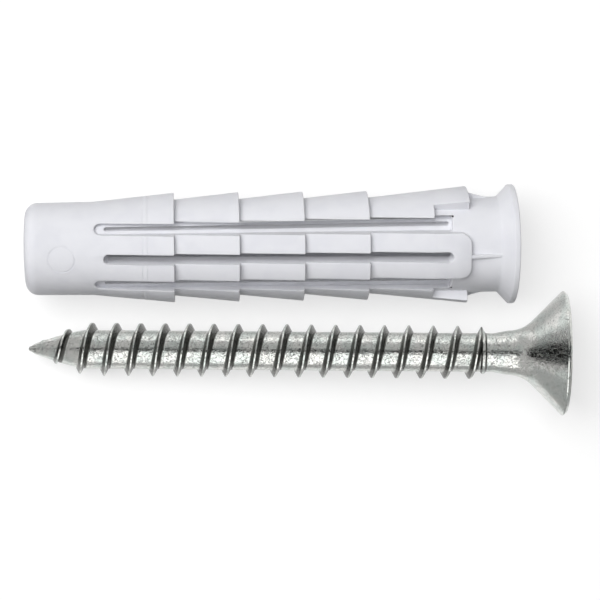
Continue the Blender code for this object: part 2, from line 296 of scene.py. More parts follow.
def turn_profile(name, outline, sides):
    """Draws an outline of (x, radius) points from one vertex and spins it round the X axis."""
    bpy.ops.object.select_all(action="DESELECT")
    bpy.ops.mesh.primitive_plane_add(size=0.001)
    piece = bpy.context.object
    piece.name = name
    bpy.ops.object.mode_set(mode="EDIT")
    bpy.ops.mesh.select_mode(type="VERT")
    bpy.ops.mesh.select_all(action="SELECT")
    bpy.ops.mesh.merge(type="CENTER")
    bpy.ops.transform.translate(value=(outline[0][0], 0.0, outline[0][1]))
    for before, after in zip(outline, outline[1:]):
        step = (after[0] - before[0], 0.0, after[1] - before[1])
        bpy.ops.mesh.extrude_region_move(TRANSFORM_OT_translate={"value": step})
    bpy.ops.mesh.select_all(action="SELECT")
    bpy.ops.mesh.spin(steps=sides, angle=2 * pi, center=(0, 0, 0), axis=(1, 0, 0), use_auto_merge=True)
    tidy_mesh()
    bpy.ops.object.mode_set(mode="OBJECT")
    return piece


def bar(name, start, end, middle, width, start_corner, end_corner, low, high):
    """An upright bar along X from a plane, with its corners rounded in plan and its height extruded."""
    bpy.ops.object.select_all(action="DESELECT")
    bpy.ops.mesh.primitive_plane_add(size=1)
    piece = bpy.context.object
    piece.name = name
    bpy.ops.object.mode_set(mode="EDIT")
    bpy.ops.transform.resize(value=(end - start, width, 1))
    bpy.ops.transform.translate(value=((start + end) / 2, middle, low))
    centre = (start + end) / 2
    for corner, side in ((start_corner, -1), (end_corner, 1)):
        if not corner:
            continue
        pick("VERT", lambda vertex: (vertex.co.x - centre) * side > 0)
        bpy.ops.mesh.bevel(offset=corner, segments=8, affect="VERTICES", clamp_overlap=False)
    bpy.ops.mesh.select_all(action="SELECT")
    bpy.ops.mesh.remove_doubles(threshold=MERGE)
    bpy.ops.mesh.select_mode(type="FACE")
    bpy.ops.mesh.select_all(action="SELECT")
    bpy.ops.mesh.extrude_region_move(TRANSFORM_OT_translate={"value": (0, 0, high - low)})
    tidy_mesh()
    bpy.ops.object.mode_set(mode="OBJECT")
    return piece


def combine(target, operation, *tools):
    """Joins, cuts or trims the target with each tool and clears the tool away."""
    for tool in tools:
        focus(target)
        step = target.modifiers.new(operation, "BOOLEAN")
        step.operation = operation
        step.object = tool
        step.solver = "MANIFOLD"
        bpy.ops.object.modifier_apply(modifier=step.name)
        bpy.data.objects.remove(tool)


def turned_about_x(piece, angle):
    """Turns a whole piece about the X axis in its mesh."""
    piece.data.transform(Matrix.Rotation(radians(angle), 4, "X"))
    return piece


def resting_place(node, mount, roll):
    """Where a piece lies: the middle of its face on the solid, and the turns that lay its X axis down."""
    face = next(item for item in frame["record"]["mounts"] if item["name"] == mount)
    axis = Vector(face["axis"])
    point = Vector(face["pos_m"])
    on_face = {
        tuple(round(value, 7) for value in vertex.co)
        for vertex in frame["nodes"][node].data.vertices
        if abs((vertex.co - point).dot(axis)) < ON_FACE
    }
    low = Vector([min(place[i] for place in on_face) for i in range(3)])
    high = Vector([max(place[i] for place in on_face) for i in range(3)])
    return (low + high) / 2, Euler((radians(roll), -asin(axis.z), atan2(axis.y, axis.x)), "XYZ")


def lie_down(piece, place, length):
    """Lays a piece, modelled along X from its tip, where its solid lies, and not below the table."""
    middle, turns = place
    back = Matrix.Translation((-length, 0, 0))
    piece.data.transform(Matrix.Translation(middle) @ turns.to_matrix().to_4x4() @ back)
    for vertex in piece.data.vertices:
        vertex.co.z = max(vertex.co.z, 0.0)
    piece.data.update()
    return piece


# Wall plug


def barb_tips():
    """Where each barb is widest, from the nose backwards."""
    return [FIRST_BARB_TIP + BARB_PITCH * index for index in range(BARB_COUNT)]


def past_slot():
    """Where the faces are divided so that the cuts' edges don't shade the plain part behind them."""
    return SLOT_END + 2 * RIM_ROUNDING


def plug_profile():
    """The plug's outline without its pads and wings: nose, barbs, collar and flange."""
    nose = NOSE_DIAMETER / 2
    corner = (NOSE_CORNER + NOSE_DOME, nose - NOSE_CORNER)
    outline = [(0.0, 0.0)] + arc(corner, NOSE_CORNER, 180, 90, 10)
    root = FIRST_BARB_ROOT / 2
    start = FIRST_BARB_TIP - FIRST_BARB_LENGTH
    corners = [(start, root, 0)]
    for line in MOULD_LINES:
        here = root + (BARB_DIAMETER / 2 - root) * (line - start) / FIRST_BARB_LENGTH
        corners.append((line - MOULD_LINE_WIDTH / 2, here, 0))
        corners.append((line, here - MOULD_LINE_DEPTH, 0))
        corners.append((line + MOULD_LINE_WIDTH / 2, here, 0))
    for tip in barb_tips():
        corners.append((tip, BARB_DIAMETER / 2, BARB_ROUNDING))
        corners.append((tip, COLLAR_DIAMETER / 2, BARB_ROUNDING))
    corners.append((past_slot(), COLLAR_DIAMETER / 2 + RING_RISE, 0))
    corners.append((PAD_END + RIM_ROUNDING, COLLAR_DIAMETER / 2 + RING_RISE, 0))
    rim = PLUG_LENGTH - FLANGE_RIM
    cone = (FLANGE_DIAMETER - COLLAR_DIAMETER) / 2 / tan(radians(FLANGE_CONE_ANGLE))
    corners.append((rim - cone, COLLAR_DIAMETER / 2, FLANGE_HOLLOW))
    corners.append((rim, FLANGE_DIAMETER / 2, FLANGE_ROUNDING))
    corners.append((PLUG_LENGTH, FLANGE_DIAMETER / 2, FLANGE_ROUNDING))
    corners.append((PLUG_LENGTH, 0.0, 0))
    return outline + rounded(corners)


def behind_last_barb(name, end_diameter):
    """A turned blank that carries on from the last barb and ends flat where the pads end."""
    tip = barb_tips()[-1]
    slope = (BARB_DIAMETER - COLLAR_DIAMETER) / 2 / BARB_PITCH
    low = BARB_DIAMETER / 2 - slope * SEAM_DEPTH - SEAM_SINK
    share = (past_slot() - tip) / (PAD_END - tip)
    middle = BARB_DIAMETER / 2 + (end_diameter - BARB_DIAMETER) / 2 * share + RING_RISE
    outline = [
        (tip - SEAM_DEPTH, 0.0),
        (tip - SEAM_DEPTH, low),
        (tip, BARB_DIAMETER / 2),
        (past_slot(), middle),
        (PAD_END, end_diameter / 2),
        (PAD_END, 0.0),
    ]
    return turn_profile(name, outline, PLUG_SIDES)


def pad_ends():
    """The part of both pads that lies behind the last barb."""
    blank = behind_last_barb("pad_ends", BARB_DIAMETER)
    start = barb_tips()[-1] - 2 * SEAM_DEPTH
    tool = bar(
        "pad_plan", start, PAD_END, 0, PAD_WIDTH, SEAM_DEPTH / 2, PAD_CORNER, -WING_DIAMETER, WING_DIAMETER
    )
    combine(blank, "INTERSECT", tool)
    return blank


def wing_blocks():
    """The two side blocks, each a sector of a turned blank between two raking cuts."""
    blank = behind_last_barb("wing_blocks", WING_DIAMETER)
    start = barb_tips()[-1] - 2 * SEAM_DEPTH
    tool = None
    slant = tan(radians(WING_SPREAD / 2))
    inner = COLLAR_DIAMETER / 4
    outer = WING_DIAMETER
    for side in (1, -1):
        bpy.ops.object.select_all(action="DESELECT")
        bpy.ops.mesh.primitive_cube_add(size=1)
        wedge = bpy.context.object
        bpy.ops.object.mode_set(mode="EDIT")
        bpy.ops.transform.resize(value=(PAD_END + CUT_MARGIN - start, outer - inner, 2 * inner * slant))
        bpy.ops.transform.translate(
            value=((PAD_END + CUT_MARGIN + start) / 2, side * (inner + outer) / 2, 0)
        )
        pick("FACE", lambda face: face.normal.y * side > 0.9)
        bpy.ops.transform.resize(value=(1, 1, outer / inner))
        tidy_mesh()
        bpy.ops.object.mode_set(mode="OBJECT")
        if tool:
            combine(tool, "UNION", wedge)
        else:
            tool = wedge
    combine(blank, "INTERSECT", tool)
    return blank


def fin_plate(name, turn, low):
    """A thin plate across the plug whose two edges are a pair of the fins; low is where they run out."""
    start = PAD_END - SEAM_DEPTH
    tall = BARB_DIAMETER / 2
    bpy.ops.object.select_all(action="DESELECT")
    bpy.ops.mesh.primitive_cube_add(size=1)
    plate = bpy.context.object
    plate.name = name
    bpy.ops.object.mode_set(mode="EDIT")
    bpy.ops.transform.resize(value=(PAD_END - start, 2 * low, FIN_THICKNESS))
    bpy.ops.transform.translate(value=((PAD_END + start) / 2, 0, 0))
    pick("FACE", lambda face: face.normal.x > 0.9)
    drop = (tall - low) / (FIN_END - PAD_END) * FIN_THICKNESS
    bpy.ops.transform.resize(value=(1, (tall - drop) / low, 1))
    bpy.ops.mesh.extrude_region_move(TRANSFORM_OT_translate={"value": (FIN_END - PAD_END, 0, 0)})
    bpy.ops.transform.resize(value=(1, low / (tall - drop), 1))
    tidy_mesh()
    bpy.ops.object.mode_set(mode="OBJECT")
    return turned_about_x(plate, turn)


def groove_middle():
    """How far to the side of the pad's middle each groove runs."""
    return PAD_WIDTH / 2 + GROOVE_WIDTH / 2


def along_groove(x, at_nose, at_collar):
    """A value that changes evenly from the groove's start to its end."""
    return at_nose + (at_collar - at_nose) * (x - GROOVE_START) / (SLOT_END - GROOVE_START)


def groove_cutter(side):
    """The bar that cuts one pair of grooves; its outer wall spreads a little towards the flange."""
    half = GROOVE_WIDTH / 2
    tool = bar(
        "groove_cut",
        GROOVE_START,
        SLOT_END,
        side * groove_middle(),
        GROOVE_WIDTH,
        half,
        GROOVE_END_CORNER,
        -FLANGE_DIAMETER,
        FLANGE_DIAMETER,
    )
    wall = side * PAD_WIDTH / 2
    for vertex in tool.data.vertices:
        vertex.co.y = wall + (vertex.co.y - wall) * along_groove(vertex.co.x, GROOVE_NOSE_SHARE, 1.0)
    return tool


def slot_cutter(width):
    """The bar that cuts both pads' slots."""
    half = width / 2
    spare = (width - SLOT_WIDTH) / 2
    return bar(
        "slot_cut",
        SLOT_START - spare,
        SLOT_END + spare,
        0,
        width,
        half,
        half,
        -FLANGE_DIAMETER,
        FLANGE_DIAMETER,
    )


def slit_cutter(side, face):
    """A slit in the floor of a groove; face is 1 on the front of the plug and -1 on its back."""
    low, high = sorted((face * SLIT_FLOOR, face * FLANGE_DIAMETER))
    half = SLIT_WIDTH / 2
    tool = bar(
        "slit_cut",
        GROOVE_START + SLIT_LAND,
        SLOT_END - GROOVE_END_CORNER,
        0,
        SLIT_WIDTH,
        half,
        half,
        low,
        high,
    )
    for vertex in tool.data.vertices:
        vertex.co.y += side * along_groove(vertex.co.x, SLIT_PLACE_AT_NOSE, SLIT_PLACE_AT_COLLAR)
    return tool


def groove_core():
    """The tapered core that gives the grooves their floor."""
    start = GROOVE_START - SEAM_DEPTH / 2
    end = SLOT_END + SEAM_DEPTH / 2
    outline = [
        (start, 0.0),
        (start, GROOVE_FLOOR_AT_NOSE / 2),
        (end, GROOVE_FLOOR_AT_COLLAR / 2),
        (end, 0.0),
    ]
    return turn_profile("groove_core", outline, PLUG_SIDES)


def bore_cutter():
    """The screw's bore: a small hole through the nose, a widening guide and the mouth in the flange."""
    mouth = PLUG_LENGTH - MOUTH_DEPTH
    outline = [
        (-CUT_MARGIN, 0.0),
        (-CUT_MARGIN, NOSE_BORE_DIAMETER / 2),
        (NOSE_BORE_LENGTH, NOSE_BORE_DIAMETER / 2),
        (NOSE_BORE_LENGTH + CUT_MARGIN, BORE_AT_NOSE_DIAMETER / 2),
        (mouth - CUT_MARGIN, GUIDE_DIAMETER / 2),
        (mouth, MOUTH_DIAMETER / 2),
        (PLUG_LENGTH - MOUTH_CHAMFER, MOUTH_DIAMETER / 2),
        (PLUG_LENGTH + CUT_MARGIN, MOUTH_DIAMETER / 2 + MOUTH_CHAMFER + CUT_MARGIN),
        (PLUG_LENGTH + CUT_MARGIN, 0.0),
    ]
    return turn_profile("bore_cut", outline, BORE_SIDES)


def ring_mark():
    """The thin round mark of a mould's pin, as the shallow ring that is cut into the nose."""
    bpy.ops.object.select_all(action="DESELECT")
    bpy.ops.mesh.primitive_circle_add(vertices=64, radius=MARK_DIAMETER / 2, fill_type="NGON")
    mark = bpy.context.object
    bpy.ops.object.mode_set(mode="EDIT")
    bpy.ops.transform.translate(value=(MARK_PLACE, 0, NOSE_DIAMETER / 4))
    bpy.ops.mesh.select_mode(type="FACE")
    bpy.ops.mesh.select_all(action="SELECT")
    bpy.ops.mesh.inset(thickness=MARK_WIDTH)
    bpy.ops.mesh.delete(type="FACE")
    bpy.ops.mesh.select_all(action="SELECT")
    bpy.ops.mesh.extrude_region_move(TRANSFORM_OT_translate={"value": (0, 0, NOSE_DIAMETER / 2)})
    tidy_mesh()
    bpy.ops.object.mode_set(mode="OBJECT")
    start = MARK_PLACE - MARK_DIAMETER
    end = MARK_PLACE + MARK_DIAMETER
    rise = (FIRST_BARB_ROOT - NOSE_DIAMETER) / 2 / (FIRST_BARB_TIP - FIRST_BARB_LENGTH - NOSE_CORNER)
    inside = NOSE_DIAMETER / 2 - MARK_DEPTH
    outline = [(start, 0.0)]
    outline += [(x, inside + rise * (x - NOSE_CORNER)) for x in (start, end)]
    outline.append((end, 0.0))
    combine(mark, "DIFFERENCE", turn_profile("mark_floor", outline, PLUG_SIDES))
    return mark


def round_rims(plug):
    """Rounds the long edges of the pads, strips, wings and fins."""
    focus(plug)
    bpy.ops.object.mode_set(mode="EDIT")
    skin = GROOVE_FLOOR_AT_NOSE / 2

    def is_rim(edge):
        if len(edge.link_faces) != 2 or not edge.is_convex:
            return False
        if edge.calc_face_angle(0.0) < radians(RIM_ANGLE):
            return False
        first, second = (vertex.co for vertex in edge.verts)
        reach = min(Vector(point.yz).length for point in (first, second))
        return reach > skin and GROOVE_START - SEAM_DEPTH < first.x < FIN_END + SEAM_DEPTH

    pick("EDGE", is_rim)
    bpy.ops.mesh.bevel(offset=RIM_ROUNDING, segments=2, affect="EDGES", clamp_overlap=False)
    bpy.ops.object.mode_set(mode="OBJECT")


def build_plug(place):
    """The whole plug, laid in its place."""
    plug = turn_profile("plug_body", plug_profile(), PLUG_SIDES)
    side_fins = fin_plate("side_fins", 0, COLLAR_DIAMETER / 2 - FIN_THICKNESS)
    pad_fins = fin_plate("pad_fins", 90, COLLAR_DIAMETER / 2)
    combine(plug, "UNION", pad_ends(), wing_blocks(), side_fins, pad_fins)
    combine(plug, "DIFFERENCE", groove_cutter(1), groove_cutter(-1), slot_cutter(SLOT_WIDTH))
    round_rims(plug)
    combine(plug, "UNION", groove_core())
    combine(plug, "DIFFERENCE", bore_cutter(), slot_cutter(SLOT_WIDTH + SLOT_CLEARANCE))
    slits = [slit_cutter(side, face) for side in (1, -1) for face in (1, -1)]
    combine(plug, "DIFFERENCE", ring_mark(), *slits)
    finish_shading(plug)
    return lie_down(plug, place, PLUG_LENGTH)


def finish_shading(piece):
    """Merges doubled points and smooths the shading, except over sharp edges."""
    focus(piece)
    bpy.ops.object.mode_set(mode="EDIT")
    tidy_mesh()
    bpy.ops.object.mode_set(mode="OBJECT")
    bpy.ops.object.shade_smooth_by_angle(angle=radians(SMOOTH_ANGLE))
    even = piece.modifiers.new("even_normals", "WEIGHTED_NORMAL")
    even.keep_sharp = True
    even.weight = NORMAL_WEIGHT
    bpy.ops.object.modifier_apply(modifier=even.name)


# Screw


def fillet_start():
    """Where the neck starts to flare into the head."""
    cone = (HEAD_DIAMETER - NECK_DIAMETER) / 2 / tan(radians(HEAD_CONE_ANGLE))
    reach = NECK_FILLET * tan(radians(HEAD_CONE_ANGLE / 2))
    return SCREW_LENGTH - HEAD_RIM - cone - reach


def core_radius(x):
    """The shank's radius, with its blunt point."""
    full = CORE_DIAMETER / 2
    tip = TIP_DIAMETER / 2
    share = min(max(x / POINT_LENGTH, 0.0), 1.0)
    return tip + (full - tip) * (1.0 - (1.0 - share) ** POINT_FULLNESS)


def screw_profile():
    """The screw's outline without its thread: point, shank, ring, neck and head."""
    tip = TIP_DIAMETER / 2
    outline = [(0.0, 0.0)] + arc((tip, 0.0), tip, 180, 90, 4)
    steps = 16
    for step in range(1, steps + 1):
        x = tip + (POINT_LENGTH - tip) * step / steps
        outline.append((x, core_radius(x)))
    core = CORE_DIAMETER / 2
    ring = RING_DIAMETER / 2
    outline += rounded(
        [
            (RING_PLACE - RING_WIDTH, core, 0),
            (RING_PLACE - RING_WIDTH / 2, ring, RING_WIDTH / 5),
            (RING_PLACE + RING_WIDTH / 2, ring, RING_WIDTH / 5),
            (RING_PLACE + RING_WIDTH, core, 0),
        ]
    )
    outline.append((fillet_start() - NECK_LENGTH + RING_WIDTH, core))
    centre = (fillet_start(), NECK_DIAMETER / 2 + NECK_FILLET)
    outline += arc(centre, NECK_FILLET, 270, 270 + HEAD_CONE_ANGLE, 16)
    corners = [
        outline[-1] + (0,),
        (SCREW_LENGTH - HEAD_RIM, HEAD_DIAMETER / 2, HEAD_ROUNDING),
        (SCREW_LENGTH - HEAD_BEVEL, HEAD_DIAMETER / 2, HEAD_EDGE_ROUNDING),
        (SCREW_LENGTH, HEAD_DIAMETER / 2 - HEAD_BEVEL, HEAD_EDGE_ROUNDING),
        (SCREW_LENGTH, 0.0, 0),
    ]
    return outline + rounded(corners)[1:]


def thread_height(x):
    """How far the thread stands out from the core: it grows from the tip and runs out at the ring."""
    full = (THREAD_DIAMETER - CORE_DIAMETER) / 2
    growing = (x - THREAD_START) / (THREAD_FULL - THREAD_START)
    fading = (RING_PLACE - x) / THREAD_RUN_OUT
    return full * min(max(min(growing, fading), 0.0), 1.0)


def thread():
    """The thread, extruded ring by ring along its helix, with its foot sunk into the core."""
    turns = (RING_PLACE - THREAD_START) / THREAD_PITCH
    count = int(turns * THREAD_SIDES)
    shape = bmesh.new()
    rings = []
    for index in range(count + 1):
        x = THREAD_START + THREAD_PITCH * index / THREAD_SIDES
        angle = THREAD_HAND * 2 * pi * (x - THREAD_TOP_CREST) / THREAD_PITCH
        height = thread_height(x)
        foot = THREAD_CREST / 2 + (height + THREAD_EMBED) * tan(radians(THREAD_FLANK_ANGLE))
        low = core_radius(x) - THREAD_EMBED
        high = core_radius(x) + height
        crest = THREAD_CREST / 2
        ring = []
        for along, radius in ((-foot, low), (-crest, high), (crest, high), (foot, low)):
            ring.append(shape.verts.new((x + along, radius * cos(angle), radius * sin(angle))))
        rings.append(ring)
    for first, second in zip(rings, rings[1:]):
        for corner in range(4):
            after = (corner + 1) % 4
            shape.faces.new((first[corner], first[after], second[after], second[corner]))
    shape.faces.new(rings[0])
    shape.faces.new(list(reversed(rings[-1])))
    bmesh.ops.recalc_face_normals(shape, faces=shape.faces)
    mesh = bpy.data.meshes.new("thread")
    shape.to_mesh(mesh)
    shape.free()
    made = bpy.data.objects.new("thread", mesh)
    bpy.context.scene.collection.objects.link(made)
    return made


def recess_arm(turn):
    """One arm of the cross recess: a block whose inner end narrows towards the floor."""
    bpy.ops.object.select_all(action="DESELECT")
    bpy.ops.mesh.primitive_cube_add(size=1)
    arm = bpy.context.object
    bpy.ops.object.mode_set(mode="EDIT")
    bpy.ops.transform.resize(value=(CUT_MARGIN, RECESS_WIDTH, RECESS_ARM))
    bpy.ops.transform.translate(value=(SCREW_LENGTH + CUT_MARGIN / 2, 0, 0))
    pick("FACE", lambda face: face.normal.x < -0.9)
    bpy.ops.mesh.extrude_region_move(TRANSFORM_OT_translate={"value": (-RECESS_DEPTH, 0, 0)})
    bpy.ops.transform.resize(value=(1, RECESS_TAPER, (1 + RECESS_TAPER) / 2))
    tidy_mesh()
    bpy.ops.object.mode_set(mode="OBJECT")
    return turned_about_x(arm, turn)


def build_screw(place):
    """The whole screw, laid in its place."""
    made = turn_profile("wood_screw", screw_profile(), SCREW_SIDES)
    combine(made, "UNION", thread())
    combine(made, "DIFFERENCE", recess_arm(0), recess_arm(90))
    finish_shading(made)
    return lie_down(made, place, SCREW_LENGTH)


# Finishes


def surface_grain():
    """A group that both finishes share: fine grain, broad unevenness and fine wandering marks."""
    group = bpy.data.node_groups.new("surface_grain", "ShaderNodeTree")
    sockets = group.interface
    for name, value in (("Scale", 1000.0), ("Unevenness", 0.3), ("Marks", 0.3)):
        socket = sockets.new_socket(name=name, in_out="INPUT", socket_type="NodeSocketFloat")
        socket.default_value = value
    for name in ("Height", "Patches", "Mark Mask"):
        sockets.new_socket(name=name, in_out="OUTPUT", socket_type="NodeSocketFloat")
    nodes = group.nodes
    links = group.links
    entry = nodes.new("NodeGroupInput")
    leave = nodes.new("NodeGroupOutput")
    place = nodes.new("ShaderNodeTexCoord")
    offset = nodes.new("ShaderNodeVectorMath")
    offset.operation = "ADD"
    offset.inputs[1].default_value = (3.1, 1.7, 5.3)
    links.new(place.outputs["Object"], offset.inputs[0])
    noises = []
    for share, detail, where in ((1.0, 3.0, place), (0.17, 2.0, place), (0.75, 2.0, offset)):
        noise = nodes.new("ShaderNodeTexNoise")
        noise.inputs["Detail"].default_value = detail
        links.new(where.outputs["Object" if where == place else "Vector"], noise.inputs["Vector"])
        scale = math_node(nodes, links, "MULTIPLY", entry.outputs["Scale"], share)
        links.new(scale, noise.inputs["Scale"])
        noises.append(noise)
    grain, coarse, wander = noises
    grain.inputs["Roughness"].default_value = 0.6
    wander.inputs["Distortion"].default_value = 1.2
    from_middle = math_node(nodes, links, "SUBTRACT", wander.outputs["Fac"], 0.5)
    off_line = math_node(nodes, links, "ABSOLUTE", from_middle)
    marks = fade(nodes, links, off_line, 0.0, 0.035, 1.0, 0.0)
    patches = coarse.outputs["Fac"]
    unevenness = entry.outputs["Unevenness"]
    broad = math_node(nodes, links, "MULTIPLY_ADD", patches, unevenness, grain.outputs["Fac"])
    sunk = math_node(nodes, links, "MULTIPLY", marks, entry.outputs["Marks"])
    links.new(math_node(nodes, links, "SUBTRACT", broad, sunk), leave.inputs["Height"])
    links.new(patches, leave.inputs["Patches"])
    links.new(marks, leave.inputs["Mark Mask"])
    return group


def new_material(name):
    """A material with its nodes and links."""
    made = bpy.data.materials.new(name)
    made.use_nodes = True
    return made, made.node_tree.nodes, made.node_tree.links


def add_grain(nodes, group, scale, unevenness, marks):
    """Places the shared grain in a material with its own values."""
    grain = nodes.new("ShaderNodeGroup")
    grain.node_tree = group
    grain.inputs["Scale"].default_value = scale
    grain.inputs["Unevenness"].default_value = unevenness
    grain.inputs["Marks"].default_value = marks
    return grain


def blend(nodes, links, mask, first, second, low=0.0, high=1.0):
    """Fades from the first colour to the second as the mask goes from low to high."""
    mix = nodes.new("ShaderNodeMix")
    mix.data_type = "RGBA"
    links.new(fade(nodes, links, mask, low, high, 0.0, 1.0), mix.inputs["Factor"])
    for name, colour in (("A", first), ("B", second)):
        socket = next(item for item in mix.inputs if item.name == name and item.type == "RGBA")
        if isinstance(colour, tuple):
            socket.default_value = colour + (1.0,)
        else:
            links.new(colour, socket)
    return next(item for item in mix.outputs if item.type == "RGBA")


def fade(nodes, links, mask, low, high, bottom, top, kind="SMOOTHSTEP"):
    """Turns a mask into a value that goes from bottom to top as the mask goes from low to high."""
    made = nodes.new("ShaderNodeMapRange")
    made.interpolation_type = kind
    made.inputs["From Min"].default_value = low
    made.inputs["From Max"].default_value = high
    made.inputs["To Min"].default_value = bottom
    made.inputs["To Max"].default_value = top
    links.new(mask, made.inputs["Value"])
    return made.outputs["Result"]


def ramp(nodes, links, mask, low, high, bottom, top):
    """As fade, in a straight line."""
    return fade(nodes, links, mask, low, high, bottom, top, "LINEAR")


def relief(nodes, links, height, depth):
    """The normal of a surface whose height changes by the depth."""
    bump = nodes.new("ShaderNodeBump")
    bump.inputs["Strength"].default_value = 1.0
    bump.inputs["Distance"].default_value = depth
    links.new(height, bump.inputs["Height"])
    return bump.outputs["Normal"]


def moulded_nylon(grain_group):
    """Pale grey moulded nylon: satin, a little uneven and faintly translucent."""
    made, nodes, links = new_material("moulded_nylon")
    shader = nodes["Principled BSDF"]
    grain = add_grain(nodes, grain_group, NYLON_GRAIN, NYLON_UNEVENNESS, NYLON_MARKS)
    height = grain.outputs["Height"]
    colour = blend(nodes, links, grain.outputs["Patches"], NYLON_SHADE, NYLON_COLOUR, *NYLON_PATCHES)
    links.new(colour, shader.inputs["Base Color"])
    links.new(ramp(nodes, links, height, *NYLON_HEIGHTS, *NYLON_ROUGHNESS), shader.inputs["Roughness"])
    links.new(relief(nodes, links, height, NYLON_RELIEF), shader.inputs["Normal"])
    shader.inputs["Specular IOR Level"].default_value = NYLON_SHINE
    shader.inputs["Subsurface Weight"].default_value = NYLON_GLOW
    shader.inputs["Subsurface Radius"].default_value = (1.0, 1.0, 1.0)
    shader.inputs["Subsurface Scale"].default_value = NYLON_GLOW_DEPTH
    return made


def math_node(nodes, links, operation, *values):
    """A Math node whose inputs are numbers or other nodes' outputs."""
    made = nodes.new("ShaderNodeMath")
    made.operation = operation
    for socket, value in zip(made.inputs, values):
        if isinstance(value, (int, float)):
            socket.default_value = value
        else:
            links.new(value, socket)
    return made.outputs[0]


def along_screw(nodes, links, place):
    """Each point's distance from the tip along the screw, and its angle about the screw."""
    middle, turns = place
    where = nodes.new("ShaderNodeTexCoord")
    along = nodes.new("ShaderNodeMapping")
    along.vector_type = "TEXTURE"
    along.inputs["Location"].default_value = middle
    along.inputs["Rotation"].default_value = turns
    links.new(where.outputs["Object"], along.inputs["Vector"])
    parts = nodes.new("ShaderNodeSeparateXYZ")
    links.new(along.outputs["Vector"], parts.inputs["Vector"])
    x = math_node(nodes, links, "ADD", parts.outputs["X"], SCREW_LENGTH)
    return x, math_node(nodes, links, "ARCTAN2", parts.outputs["Z"], parts.outputs["Y"])


def flank_shade_mask(nodes, links, x, angle):
    """A mask of painted shade on the thread's two flanks and at the foot of the ring, from each point's
    distance along X to the crest of its turn.
    """
    turned = math_node(nodes, links, "MULTIPLY", angle, -THREAD_HAND / (2 * pi))
    from_crest = math_node(nodes, links, "SUBTRACT", x, THREAD_TOP_CREST)
    turns_on = math_node(nodes, links, "DIVIDE", from_crest, THREAD_PITCH)
    total = math_node(nodes, links, "ADD", turns_on, turned)
    shifted = math_node(nodes, links, "ADD", total, 0.5)
    share = math_node(nodes, links, "FRACT", shifted)
    signed = math_node(nodes, links, "SUBTRACT", share, 0.5)
    masks = []
    for side, reach in ((-1.0, FLANK_REACH_LEFT), (1.0, FLANK_REACH_RIGHT)):
        gap = math_node(nodes, links, "MULTIPLY", signed, side * THREAD_PITCH)
        starts = ramp(nodes, links, gap, THREAD_CREST * 0.4, THREAD_CREST * 0.9, 0.0, 1.0)
        ends = ramp(nodes, links, gap, reach - THREAD_CREST, reach, 1.0, 0.0)
        masks.append(math_node(nodes, links, "MULTIPLY", starts, ends))
    both = math_node(nodes, links, "ADD", *masks)
    past_start = ramp(nodes, links, x, THREAD_START, THREAD_FULL * 0.6, 0.0, 1.0)
    before_end = ramp(nodes, links, x, RING_PLACE - RING_WIDTH, RING_PLACE, 1.0, 0.0)
    limits = math_node(nodes, links, "MULTIPLY", past_start, before_end)
    flanks = math_node(nodes, links, "MULTIPLY", both, limits)
    # Painted shade also goes at the foot of the ring, on both sides of it
    from_ring = math_node(nodes, links, "SUBTRACT", x, RING_PLACE)
    off_ring = math_node(nodes, links, "ABSOLUTE", from_ring)
    foot_starts = ramp(nodes, links, off_ring, RING_WIDTH * 0.35, RING_WIDTH * 0.6, 0.0, 1.0)
    foot_ends = ramp(nodes, links, off_ring, RING_WIDTH, RING_WIDTH * 1.3, 1.0, 0.0)
    feet = math_node(nodes, links, "MULTIPLY", foot_starts, foot_ends)
    return math_node(nodes, links, "MAXIMUM", flanks, feet)


def zinc_plate(grain_group, place):
    """Bright zinc plate: patchy, with fine dark marks, and with painted shade on the thread's flanks and
    at the ring's foot.
    """
    made, nodes, links = new_material("zinc_plate")
    shader = nodes["Principled BSDF"]
    shader.inputs["Metallic"].default_value = 1.0
    grain = add_grain(nodes, grain_group, ZINC_GRAIN, ZINC_UNEVENNESS, ZINC_MARKS)
    height = grain.outputs["Height"]
    plate = blend(nodes, links, grain.outputs["Patches"], ZINC_COOL, ZINC_WARM, *ZINC_PATCHES)
    marked = blend(nodes, links, grain.outputs["Mark Mask"], plate, ZINC_MARK, *ZINC_MARK_LIMITS)
    x, angle = along_screw(nodes, links, place)
    # The thread's flanks and the ring's foot get painted shade in the base colour
    colour = blend(nodes, links, flank_shade_mask(nodes, links, x, angle), marked, PAINTED_FLANK_SHADE)
    links.new(colour, shader.inputs["Base Color"])
    links.new(ramp(nodes, links, height, *ZINC_HEIGHTS, *ZINC_ROUGHNESS), shader.inputs["Roughness"])
    flare = fillet_start()
    rough_share = ramp(nodes, links, x, flare, flare + NECK_FILLET, 1.0, HEAD_RELIEF_SHARE)
    bumps = math_node(nodes, links, "MULTIPLY", height, rough_share)
    links.new(relief(nodes, links, bumps, ZINC_RELIEF), shader.inputs["Normal"])
    return made


def dress(piece, finish):
    """Gives a whole piece one finish."""
    piece.data.materials.clear()
    piece.data.materials.append(finish)
    for face in piece.data.polygons:
        face.material_index = 0


# Studio


def photo_camera():
    """The camera, above the pieces and a little to the left, as in the photograph."""
    data = bpy.data.cameras.new("camera")
    data.lens = CAMERA_LENS
    data.sensor_width = CAMERA_SENSOR
    data.clip_start, data.clip_end = CAMERA_CLIP
    made = bpy.data.objects.new("camera", data)
    bpy.context.scene.collection.objects.link(made)
    tilt = radians(CAMERA_TILT)
    made.location = CAMERA_TARGET + CAMERA_DISTANCE * Vector((-sin(tilt), 0.0, cos(tilt)))
    made.rotation_euler = (0.0, -tilt, 0.0)
    bpy.context.scene.camera = made


def softbox(name, place, size, radiance):
    """A rectangular lamp that faces the middle of the table; its watts follow from its brightness."""
    width, height = size
    data = bpy.data.lights.new(name, "AREA")
    data.shape = "RECTANGLE"
    data.size = width
    data.size_y = height
    data.energy = radiance * pi * width * height
    made = bpy.data.objects.new(name, data)
    made.location = place
    made.rotation_euler = (-Vector(place)).to_track_quat("-Z", "Y").to_euler()
    bpy.context.scene.collection.objects.link(made)
    return made


